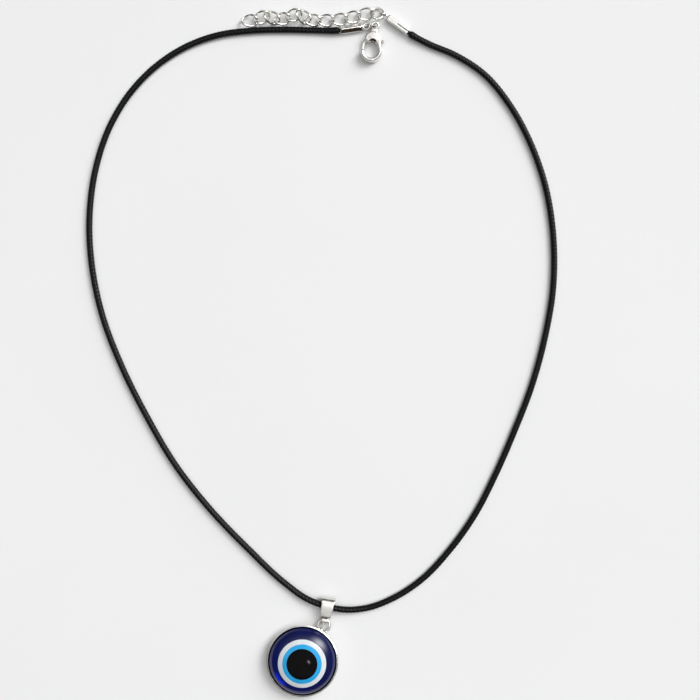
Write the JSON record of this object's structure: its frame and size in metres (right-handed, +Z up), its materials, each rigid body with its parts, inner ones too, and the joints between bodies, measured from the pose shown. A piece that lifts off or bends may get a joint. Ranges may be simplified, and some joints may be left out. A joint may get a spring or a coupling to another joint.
{
  "type": "evil eye pendant necklace",
  "caption": "Evil eye charm: domed blue, white and black eye in a silver tray on a folded bail, hung on a black waxed cord with a lobster clasp and a short extender chain.",
  "frame": {"origin": "centre of the pendant's flat back, which lies on the table", "axes": "+Z up out of the table and out of the eye's dome, +Y from the pendant towards the clasp, +X to the side of the cord end that holds the chain"},
  "size_m": [0.1345, 0.1965, 0.0069],
  "materials": {
    "waxed_cord": "black waxed twisted thread with a dull sheen",
    "plated_metal": "bright silver plating on zinc alloy, lightly worn",
    "chain_metal": "bright silver-plated wire",
    "spring_steel": "drawn spring wire",
    "clear_glue": "set clear adhesive",
    "navy_glass": "glossy translucent navy resin",
    "white_glass": "glossy opaque white",
    "sky_glass": "glossy opaque light blue",
    "black_glass": "glossy opaque black"
  },
  "bodies": {
    "cord_and_ends": {"cord": "waxed_cord", "cord_end_left": "plated_metal", "cord_end_right": "plated_metal"},
    "bail": {"bail": "plated_metal"},
    "bail_ring": {"bail_ring": "plated_metal"},
    "pendant": {"bezel": "plated_metal", "glue_film": "clear_glue", "eye_base": "navy_glass", "eye_white": "white_glass", "eye_blue": "sky_glass", "eye_pupil": "black_glass"},
    "clasp_ring": {"clasp_ring": "plated_metal"},
    "clasp": {"clasp_body": "plated_metal", "clasp_pin": "plated_metal", "clasp_spring": "spring_steel"},
    "clasp_lever": {"clasp_lever": "plated_metal"},
    "chain_ring": {"chain_ring": "chain_metal"},
    "chain_link_01": {"chain_link_01": "chain_metal"},
    "chain_link_02": {"chain_link_02": "chain_metal"},
    "chain_link_03": {"chain_link_03": "chain_metal"},
    "chain_link_04": {"chain_link_04": "chain_metal"},
    "chain_link_05": {"chain_link_05": "chain_metal"},
    "chain_link_06": {"chain_link_06": "chain_metal"},
    "chain_link_07": {"chain_link_07": "chain_metal"},
    "chain_link_08": {"chain_link_08": "chain_metal"},
    "chain_link_09": {"chain_link_09": "chain_metal"},
    "chain_link_10": {"chain_link_10": "chain_metal"},
    "chain_link_11": {"chain_link_11": "chain_metal"}
  },
  "joints": [
    {"name": "bail_swing", "type": "hinge", "parent": "cord_and_ends", "child": "bail", "pos_m": [0.00702, 0.01517, 0.00165], "axis": [-0.9613, 0.2756, 0], "range_deg": [0, 45]},
    {"name": "bail_ring_swing", "type": "hinge", "parent": "bail", "child": "bail_ring", "pos_m": [0.00632, 0.01123, 0.0012], "axis": [-0.9848, 0.1736, 0], "range_deg": [0, 40]},
    {"name": "pendant_swing", "type": "hinge", "parent": "bail_ring", "child": "pendant", "pos_m": [0.00514, 0.00823, 0.0012], "axis": [-0.848, 0.5299, 0], "range_deg": [0, 40]},
    {"name": "clasp_ring_spin", "type": "hinge", "parent": "cord_and_ends", "child": "clasp_ring", "pos_m": [0.01937, 0.18065, 0.00163], "axis": [0.0797, -0.9968, 0], "range_deg": [0, 45]},
    {"name": "clasp_swing", "type": "hinge", "parent": "clasp_ring", "child": "clasp", "pos_m": [0.02065, 0.18075, 0.0014], "axis": [0, 0, 1], "range_deg": [0, 35]},
    {"name": "clasp_lever_hinge", "type": "hinge", "parent": "clasp", "child": "clasp_lever", "pos_m": [0.01915, 0.17683, 0.0014], "axis": [0, 0, 1], "range_deg": [0, 25], "stiffness_Nm_per_rad": 0.0002, "springref_deg": -5.73},
    {"name": "chain_ring_swing", "type": "hinge", "parent": "cord_and_ends", "child": "chain_ring", "pos_m": [0.0229, 0.184, 0.00125], "axis": [0.1564, 0.9877, 0], "range_deg": [0, 40]},
    {"name": "chain_link_01_swing", "type": "hinge", "parent": "chain_ring", "child": "chain_link_01", "pos_m": [0.01986, 0.18441, 0.00125], "axis": [-0.2079, 0.9781, 0], "range_deg": [0, 30]},
    {"name": "chain_link_02_swing", "type": "hinge", "parent": "chain_link_01", "child": "chain_link_02", "pos_m": [0.01607, 0.1836, 0.00125], "axis": [0, 0, -1], "range_deg": [0, 35]},
    {"name": "chain_link_03_swing", "type": "hinge", "parent": "chain_link_02", "child": "chain_link_03", "pos_m": [0.01231, 0.1828, 0.00105], "axis": [-0.1564, 0.9877, 0], "range_deg": [0, 30]},
    {"name": "chain_link_04_swing", "type": "hinge", "parent": "chain_link_03", "child": "chain_link_04", "pos_m": [0.00848, 0.1824, 0.00095], "axis": [0, 0, -1], "range_deg": [0, 35]},
    {"name": "chain_link_05_swing", "type": "hinge", "parent": "chain_link_04", "child": "chain_link_05", "pos_m": [0.00466, 0.18227, 0.00095], "axis": [0.0175, 0.9998, 0], "range_deg": [0, 30]},
    {"name": "chain_link_06_swing", "type": "hinge", "parent": "chain_link_05", "child": "chain_link_06", "pos_m": [0.00131, 0.1825, 0.00103], "axis": [0.342, 0.9397, 0], "range_deg": [0, 8]},
    {"name": "chain_link_07_swing", "type": "hinge", "parent": "chain_link_06", "child": "chain_link_07", "pos_m": [-0.00107, 0.18423, 0.00183], "axis": [0.1219, 0.9925, 0], "range_deg": [0, 30]},
    {"name": "chain_link_08_swing", "type": "hinge", "parent": "chain_link_07", "child": "chain_link_08", "pos_m": [-0.00414, 0.18299, 0.00136], "axis": [0, 0, -1], "range_deg": [0, 35]},
    {"name": "chain_link_09_swing", "type": "hinge", "parent": "chain_link_08", "child": "chain_link_09", "pos_m": [-0.00738, 0.18242, 0.00107], "axis": [0.1219, 0.9925, 0], "range_deg": [0, 8]},
    {"name": "chain_link_10_swing", "type": "hinge", "parent": "chain_link_09", "child": "chain_link_10", "pos_m": [-0.01025, 0.18369, 0.00171], "axis": [0, 0, -1], "range_deg": [0, 40]},
    {"name": "chain_link_11_swing", "type": "hinge", "parent": "chain_link_10", "child": "chain_link_11", "pos_m": [-0.01337, 0.1823, 0.00123], "axis": [-0.225, 0.9744, 0], "range_deg": [0, 30]}
  ]
}
